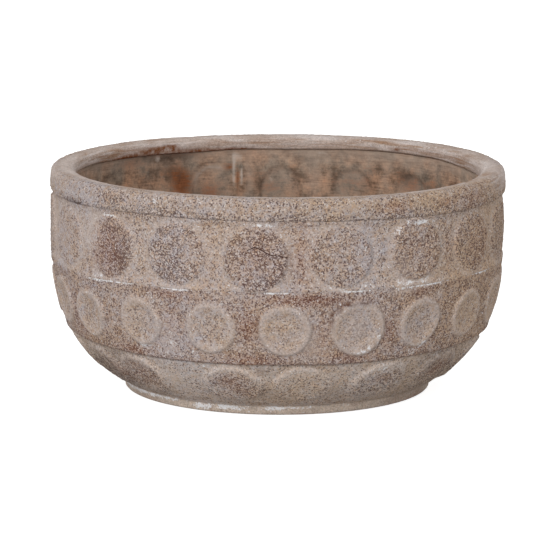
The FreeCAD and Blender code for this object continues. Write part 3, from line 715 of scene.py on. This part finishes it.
# the middle belt: dished discs, smooth and pale on a dark sandy wall
middle = {
    "outline": [
        (153.6, pot["lowerSeam"] + pot["lap"], 0.0, 7.0, 0.0),
        (160.3, pot["lowerSeam"] + pot["lap"], 0.0, 6.0, 0.0),
        (160.3, pot["lowerSeam"], 0.0, 3.0, 0.0),
        (167.2, pot["lowerSeam"], 1.8, 1.1, 1.0),
        (178.4, pot["middleSeam"], 1.2, 3.0, 0.0),
        (169.9, pot["middleSeam"], 0.0, 6.0, 0.0),
        (169.9, pot["middleSeam"] + pot["lap"], 0.0, 7.0, 0.0),
        (163.4, pot["middleSeam"] + pot["lap"], 0.0, 2.6, 0.0),
    ],
    "foot": (167.2, pot["lowerSeam"]), "top": (178.4, pot["middleSeam"]),     # ends of the wall's face
    "steps": 960, "face": 173.5,
    "sway": (0.9, 30.0), "dents": (1.2, 22.0), "sand": (0.7, 2.1, 1.6),
    "nose": (-1.5, 0.3, 0.9),                      # the edge under the seam stands out at the far left
    "count": 20, "first": 1.6, "dice": 5,
    "hand": {0: (0.3, -0.2, 1.0), 1: (0.7, -0.2, 1.08), 2: (0.5, -0.2, 0.98), 3: (0.6, -1.4, 0.98),
             17: (-2.7, -0.8, 0.98), 18: (-1.7, 0.9, 0.95), 19: (-0.2, 0.6, 0.99)},
    "shift": -0.8, "size": 19.6, "crest": 16.9, "rise": 1.9, "flat": 0.45, "dish": 2.0,
    "rustMarks": [(-27, 100.5, 15, 3.5, 0.7), (7, 99, 26, 4, 1.1), (37, 101, 12, 3.5, 0.6),
                  (-7.3, 79, 7, 14, 0.8), (-40, 53.5, 14, 3, 0.9), (-7, 53.5, 18, 4, 0.9),
                  (19, 55, 16, 4, 0.7), (39, 60, 10, 6, 0.6), (29, 72, 6, 12, 0.6), (-27, 80, 6, 12, 0.4),
                  (11, 72, 6, 12, 0.5), (-62, 70, 16, 20, 0.4)],
    "limeMarks": [(-49, 104.4, 18, 1.3, 1.2), (-40, 104.8, 10, 1.3, 1.4), (-25, 105.0, 12, 1.3, 1.2),
                  (-1, 105.0, 13, 1.2, 1.1), (19, 105.2, 13, 1.4, 1.1), (39, 104.8, 18, 1.5, 1.2),
                  (62, 104.8, 16, 1.4, 1.0), (21.4, 58.9, 5, 1.8, 0.8), (23.4, 62.8, 2.4, 2.6, 1.0),
                  (25.7, 70.5, 1.8, 7, 0.75), (40, 60, 5, 4, 0.9), (-36, 58, 7, 2, 1.0),
                  (-27, 66, 5, 8, 0.35), (37, 54, 4, 3, 0.9), (15.2, 95.4, 1.2, 1.2, 1.25),
                  (-32, 98, 9, 4, 0.5), (-29, 64, 10, 14, 0.32), (-20, 57, 14, 6, 0.3),
                  (31, 104, 10, 2.0, 0.6)],
    "gritMarks": [(-28, 76, 8, 18, -0.38), (-31, 57, 16, 8, -0.34), (-19, 56, 14, 7, -0.25),
                  (55, 82, 8, 18, 0.25), (-20, 101, 30, 3, -0.12), (12, 60, 10, 8, -0.15),
                  (70, 75, 20, 20, 0.15), (-5, 100, 16, 3, -0.25), (8.5, 99.5, 9, 3.5, 0.30),
                  (11, 66, 8, 12, -0.25)],
    "filled": [(-86, 72, 22, 24, 0.8)],
    # painted shade along the upper left edges of two discs
    "paintedCreaseShade": [(-4.6, 81, 1.5, 8, 0.45), (13.4, 85, 1.8, 6, 1.0), (14.9, 91.5, 2.6, 3.2, 1.0),
                (17.4, 95.0, 6, 1.5, 1.1), (21.5, 95.6, 6, 1.3, 0.9)],
    # worn places; the mark on a disc's right side is painted light
    "rubAndPaintedLightMarks": [(20.3, 76, 14, 14, 0.35), (8, 67, 10, 14, 0.50), (-28, 70, 9, 16, 0.25),
                 (-4, 67, 10, 10, 0.15), (32, 103, 12, 3, 0.5), (-12, 101.5, 16, 2, 0.35)],
}
middleBelt = throwPiece("middleBelt", middle)
gauge = gaugeOf(middleBelt)
radius, turn, height = gauge
proud, along = slopeOf(middle, radius, height)
outer = smooth(-4.5, -3.0, proud)
inner = 1 - smooth(-13.0, -12.0, proud)
side, _, away = nearestDisc(discsOf(middle), turn, along - middle["shift"], middle["face"])
disc = 1 - smooth(middle["size"] - 1.5, middle["size"] + 1.0, away)
dish = 1 - smooth(middle["crest"] - 8.0, middle["crest"] + 0.5, away)
dish *= 1 - np.clip(marksOf(middle["filled"], gauge), 0, 1)
nose = humpOf(middle["nose"], turn) * smooth(98.0, 104.0, height)
lift = outer * (middle["rise"] * disc + middle["flat"] * disc * side ** 2 / (2 * middle["face"]) + nose)
press(middleBelt, lift / lift.max(), lift.max())
press(middleBelt, outer * dish, -middle["dish"])
press(middleBelt, outer, *middle["sway"])
press(middleBelt, inner, *middle["dents"])
press(middleBelt, outer * (1 - 0.75 * disc), *middle["sand"])
settle(middleBelt, "lowerSeam", "middleSeam")
crest = np.exp(-((away - middle["crest"] - 0.9) / 1.8) ** 2)
topSeam = smooth(103.4, 105.0, height)
underSeam = smooth(94.0, 100.0, height) * (1 - topSeam)
overSeam = 1 - smooth(51.0, 57.0, height)
patches = marksOf(middle["gritMarks"], gauge)
keepPaint(
    middleBelt,
    grit=outer * ((1 - disc) * (0.56 + 0.05 * underSeam + 0.2 * overSeam + patches)
                  + disc * 0.14 + 0.26 * dish),
    rust=outer * (1 - 0.9 * disc) * (0.25 + marksOf(middle["rustMarks"], gauge)) + inner * 0.1,
    worn=outer * (0.45 * crest + 0.10 * disc + marksOf(middle["rubAndPaintedLightMarks"], gauge)),
    # painted shade on the belt's lower edge, under its overhang at the seam
    soot=outer * (0.6 * (1 - smooth(pot["lowerSeam"], 51.2, height)) + marksOf(middle["paintedCreaseShade"], gauge)),
    bloom=outer * (0.06 + 0.25 * topSeam + marksOf(middle["limeMarks"], gauge) + 0.25 * crest),
    warm=warmthOf(gauge),
)
finishPiece(middleBelt, "middle_belt", beltClay, insideClay, proud < -5.0)

# the lower belt: sloping, with domes whose upper edges are worn pale and whose faces stay sandy
lower = {
    "outline": [
        (112.2, pot["footSeam"], 0.0, 4.0, 0.0),
        (123.4, pot["footSeam"], 0.8, 1.1, 2.8),
        (164.4, pot["lowerSeam"], 1.6, 3.0, 0.0),
        (160.1, pot["lowerSeam"], 0.0, 6.0, 0.0),
        (160.1, pot["lowerSeam"] + pot["lap"], 0.0, 7.0, 0.0),
        (153.6, pot["lowerSeam"] + pot["lap"], 0.0, 2.6, -4.6),
        (112.2, pot["floorTop"], 0.0, 14.0, 0.0),
    ],
    "foot": (123.4, pot["footSeam"]), "top": (164.4, pot["lowerSeam"]),
    "steps": 900, "face": 150.0,
    "sway": (1.0, 28.0), "dents": (1.0, 22.0), "sand": (0.7, 2.2, 1.5),
    "count": 16, "first": 8.0, "dice": 9,
    "hand": {0: (-0.4, 0.0, 1.0), 1: (0.3, 0.0, 1.0), 2: (0.0, 0.0, 1.0), 14: (-5.5, 0.0, 1.0),
             15: (1.7, 0.0, 1.0)},
    "shift": 3.6, "size": 23.6, "rise": 2.2, "flat": 0.55,
    "gritMarks": [(-12, 30, 14, 12, -0.05), (34, 30, 14, 12, 0.12), (-32, 27, 10, 14, -0.2),
                  (-40, 32, 9, 10, 0.3), (-50, 31, 10, 13, 0.4), (-17, 30, 8, 10, -0.2),
                  (8, 30, 16, 14, -0.35), (-62, 30, 24, 18, 0.3), (58, 30, 24, 18, 0.3)],
    "rustMarks": [(-13, 34, 12, 7, 0.9), (-41, 31, 12, 12, 0.6), (-51, 31, 10, 12, 0.5),
                  (31, 33, 10, 6, 0.5), (-10, 24, 12, 6, 0.5), (53, 32, 10, 8, 0.5)],
    "limeMarks": [(-20, 46, 8, 2, 0.7), (30, 42, 12, 3, 0.55), (6, 44, 12, 2, 0.35),
                  (-30, 30, 14, 14, 0.45), (20, 22, 8, 10, 0.35), (44, 40, 10, 4, 0.4)],
    # painted shade: the belt's sides to the left and right, the gaps between the domes and the crease under
    # the seam are darkened
    "darkeningMarks": [(-2.6, 19, 5, 9, 0.26), (20.2, 18, 5, 9, 0.30), (7, 44.5, 26, 4, 0.14),
                  (-58, 32, 34, 26, 0.42), (-84, 28, 40, 26, 0.3), (55, 34, 34, 26, 0.42),
                  (82, 28, 40, 26, 0.3), (-2.5, 43, 8, 4, 0.35), (-44, 43, 14, 5, 0.40),
                  (-60, 20, 26, 14, 0.25), (47, 41, 14, 8, 0.25)],
}
lowerBelt = throwPiece("lowerBelt", lower)
gauge = gaugeOf(lowerBelt)
radius, turn, height = gauge
proud, along = slopeOf(lower, radius, height)
outer = smooth(-3.0, -1.2, proud) * smooth(pot["footSeam"], 8.0, height)
inner = 1 - smooth(-12.5, -11.0, proud)
side, up, away = nearestDisc(discsOf(lower), turn, along - lower["shift"], radius)
edge = 4.2 - 2.4 * up / np.maximum(away, 1.0)
dome = 1 - smooth(lower["size"] - edge, lower["size"] + 0.5 * edge, away)
lift = outer * dome * (lower["rise"] + lower["flat"] * side ** 2 / (2 * lower["face"]))
press(lowerBelt, lift / lift.max(), lift.max())
press(lowerBelt, outer, *lower["sway"])
press(lowerBelt, inner, *lower["dents"])
press(lowerBelt, outer * (0.3 + 0.5 * dome), *lower["sand"])
settle(lowerBelt, "footSeam", "lowerSeam")
ridge = np.exp(-((away - lower["size"] + 2.0) / 2.6) ** 2) * smooth(-4.0, 14.0, up)
keepPaint(
    lowerBelt,
    grit=outer * (0.30 + 0.40 * dome * (1 - smooth(9.0, 19.0, up)) + marksOf(lower["gritMarks"], gauge)),
    rust=outer * dome * marksOf(lower["rustMarks"], gauge) + inner * 0.1,
    worn=outer * 0.38 * ridge,
    # painted shade in the crease under the middle belt's overhang, and the belt darker towards its bottom
    soot=outer * (0.40 * smooth(46.8, 49.2, height) + 0.25 * (1 - smooth(7.0, 12.0, height))
                  + marksOf(lower["darkeningMarks"], gauge)),
    warm=warmthOf(gauge),
    bloom=outer * (0.08 + 0.15 * ridge + marksOf(lower["limeMarks"], gauge)),
)
finishPiece(lowerBelt, "lower_belt", paintedLitLowerClay, insideClay, proud < -4.0)

# the floor: a slab with a drain hole whose edges are worn round
slab = {
    "outline": [
        (12.5, pot["footSeam"], 1.6, 3.0, 0.0),
        (112.0, pot["footSeam"], 0.0, 7.0, 0.0),
        (112.0, pot["floorTop"], 0.0, 2.2, 0.0),
        (12.5, 19.8, 2.2, 2.0, 0.0),
    ],
    "steps": 480,
    "sway": (0.9, 30.0), "dents": (0.3, 5.0),
}
floorSlab = throwPiece("floorSlab", slab)
radius, _, height = gaugeOf(floorSlab)
trodden = smooth(13.5, 18.0, radius) * (1 - smooth(106.0, 111.0, radius)) * (height > 12)   # upper face
press(floorSlab, trodden, *slab["sway"])
press(floorSlab, trodden, *slab["dents"])
keepPaint(
    floorSlab,
    rust=0.1 + 0.35 * np.exp(-((radius - 20.0) / 12.0) ** 2),
    soot=0.35 * (1 - smooth(12.5, 20.0, radius)) + 0.4 * smooth(100.0, 111.0, radius),
    bloom=0.2 * np.exp(-((radius - 80.0) / 14.0) ** 2),
    worn=0.15,
)
finishPiece(floorSlab, "floor_slab", insideClay)

# the foot: a plain ring, pale with lime and with painted light, and rubbed on its lower edge
foot = {
    "outline": [
        (96.0, pot["ground"], 1.2, 3.0, 0.0),
        (121.1, pot["ground"], 1.2, 1.0, 0.0),
        (121.5, pot["footSeam"], 0.6, 3.0, 0.0),
        (96.0, pot["footSeam"], 0.0, 2.0, 0.0),
    ],
    "steps": 900,
    "sway": (0.7, 12.0),
    "limeMarks": [(-28, 3.8, 9, 2.2, 1.3), (-17, 4.2, 11, 1.6, 1.5), (-2, 4.2, 10, 1.6, 1.3),
                  (25, 4.8, 5, 1.0, 1.2), (-50, 4.6, 22, 1.2, 1.8), (-68, 4.6, 26, 1.2, 1.8),
                  (9, 4.8, 12, 0.8, 1.2), (60, 4.0, 12, 1.4, 0.5), (140, 4.0, 20, 1.5, 0.8),
                  (-130, 4.0, 24, 1.5, 0.7), (180, 4.4, 18, 1.5, 0.8)],
    "darkeningMarks": [(50, 2.5, 16, 5, 0.25), (64, 2.5, 16, 5, 0.35), (-56, 1.5, 20, 2, 0.30),
                  (-24.5, 3, 1.2, 6, 0.4), (-20.5, 3, 1.0, 6, 0.35), (30, 4.5, 5, 1.5, 0.3),
                  (8, 1.5, 20, 1.5, 0.15)],
}
footRing = throwPiece("footRing", foot)
gauge = gaugeOf(footRing)
radius, turn, height = gauge
wallSide = smooth(118.2, 119.2, radius)
press(footRing, wallSide * smooth(0.0, 1.5, height), *foot["sway"])
settle(footRing, "ground", "footSeam")
dirt = marksOf(foot["darkeningMarks"], gauge)
keepPaint(
    footRing,
    grit=0.22 * wallSide + 0.3 * (1 - wallSide),
    bloom=wallSide * (0.15 + marksOf(foot["limeMarks"], gauge)),
    # painted shade on the foot's top under the lower belt's overhang; the lower edge is darker too
    soot=wallSide * (0.45 * smooth(5.4, pot["footSeam"], height) + 0.30 * (1 - smooth(0.2, 1.4, height))
                     + dirt),
    rust=wallSide * 2.0 * dirt,
    worn=0.55 * wallSide,
    warm=warmthOf(gauge),
)
finishPiece(footRing, "foot_ring", paintedLitFootClay)
print("pot dressed: 6 pieces")


def seenOf(tree):
    # 1 for what the camera sees, straight or by way of gloss or glass, and 0 for the light on the pot
    rays = addNode(tree, "LightPath").outputs
    seen = addNode(tree, "Math", {0: rays["Is Camera Ray"], 1: rays["Is Glossy Ray"]}, operation="MAXIMUM")
    return addNode(tree, "Math", {0: seen, 1: rays["Is Transmission Ray"]}, operation="MAXIMUM")


# a pale floor that is white to the camera wherever the light reaches it; its sizes are in metres
studio = {
    "floorSize": 9.0,
    "floorLevel": -0.0004,
    "floorGrey": "#c8c8c8",
    "floorLift": 0.85,
    "underPot": (0.100, 0.116),    # the floor doesn't shine inside the foot ring
    "sky": 0.69,
}
bpy.ops.object.select_all(action="DESELECT")
bpy.ops.mesh.primitive_plane_add(size=studio["floorSize"], location=(0, 0, studio["floorLevel"]))
floor = bpy.context.object
floor.name = "studioFloor"
paper = bpy.data.materials.new("studioPaper")
paper.use_nodes = True
tree = paper.node_tree
tree.nodes.remove(tree.nodes["Principled BSDF"])
place = addNode(tree, "TexCoord").outputs["Object"]
reach = addNode(tree, "VectorMath", {0: place}, operation="LENGTH")
dim, lit = studio["underPot"]
fade = addNode(tree, "MapRange", {"Value": reach, "From Min": dim, "From Max": lit,
                                  "To Max": studio["floorLift"]})
glow = addNode(tree, "Math", {0: seenOf(tree), 1: fade}, operation="MULTIPLY")
sheet = addNode(tree, "BsdfDiffuse", {"Color": linear(studio["floorGrey"])})
shine = addNode(tree, "Emission", {"Strength": glow})
both = addNode(tree, "AddShader", {0: sheet, 1: shine})
tree.links.new(both.outputs[0], tree.nodes["Material Output"].inputs["Surface"])
floor.data.materials.append(paper)

world = bpy.data.worlds.new("studioSky")
scene.world = world
world.use_nodes = True
tree = world.node_tree
soft = addNode(tree, "Background", {"Color": linear("#ffffff"), "Strength": studio["sky"]})
white = addNode(tree, "Background", {"Color": linear("#ffffff"), "Strength": 1.0})
sky = addNode(tree, "MixShader", {0: seenOf(tree), 1: soft, 2: white})
tree.links.new(sky.outputs[0], tree.nodes["World Output"].inputs["Surface"])

# a large soft key from the upper left and a weaker fill from the right, turned to the middle of the pot
aimLevel = 0.08
lamps = {
    "key": {"place": (-1.3, -3.0, 1.4), "size": 1.8, "watts": 59.0},
    "fill": {"place": (2.8, -2.2, 1.2), "size": 2.4, "watts": 10.0},
}
for name, lamp in lamps.items():
    bpy.ops.object.light_add(type="AREA", location=lamp["place"])
    light = bpy.context.object
    light.name = name
    light.data.size = lamp["size"]
    light.data.energy = lamp["watts"]
    x, y, z = lamp["place"]
    light.rotation_euler = (math.atan2(math.hypot(x, y), z - aimLevel), 0.0, math.atan2(x, -y))

# the camera: a long lens in front of the pot, ten degrees above level; its angles are in radians
shot = {
    "place": (0.0, -2.38542, 0.52064),
    "dip": 0.1764,
    "roll": 0.0048,
    "lens": 205.98,
    "sensor": 36.0,
    "shift": (-0.0206, -0.0052),
    "farthest": 50.0,
}
bpy.ops.object.camera_add(location=shot["place"], rotation=(math.pi / 2 - shot["dip"], 0.0, 0.0))
camera = bpy.context.object
camera.rotation_euler.rotate_axis("Z", shot["roll"])
camera.data.lens = shot["lens"]
camera.data.sensor_width = shot["sensor"]
camera.data.sensor_fit = "HORIZONTAL"
camera.data.shift_x, camera.data.shift_y = shot["shift"]
camera.data.clip_end = shot["farthest"]
scene.camera = camera
print("studio set")
